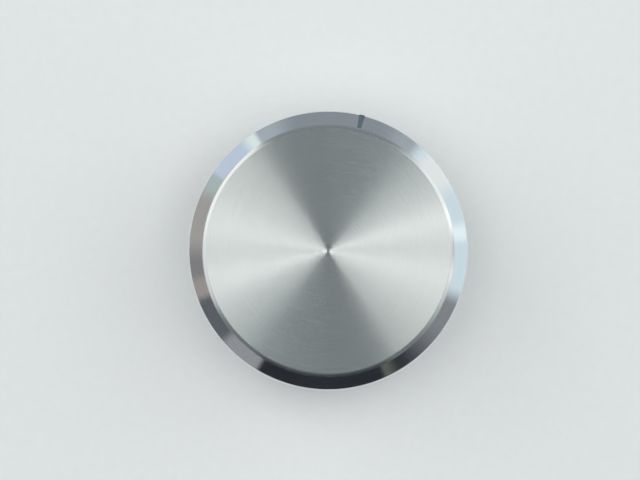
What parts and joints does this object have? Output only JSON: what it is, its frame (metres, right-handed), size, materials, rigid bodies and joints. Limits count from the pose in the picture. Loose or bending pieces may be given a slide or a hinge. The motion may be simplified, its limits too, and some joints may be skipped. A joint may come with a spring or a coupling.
{
  "type": "control knob",
  "caption": "Round solid aluminium control knob: spun face, polished bevel with an index line, recessed foot, and a blind bore with a set screw for its shaft.",
  "frame": {"origin": "centre of the foot, the flat ring that faces the panel", "axes": "+Z along the knob's axis, out of its face; the index line is at +Y and the set screw enters from -Y"},
  "size_m": [0.035, 0.035, 0.017],
  "materials": {
    "turned_aluminium": "spun face with concentric tool lines, mirror-cut bevel, satin turned side",
    "blackened_steel": "black oxide"
  },
  "bodies": {
    "root": {"knob_body": "turned_aluminium", "set_screw": "blackened_steel"}
  },
  "joints": []
}
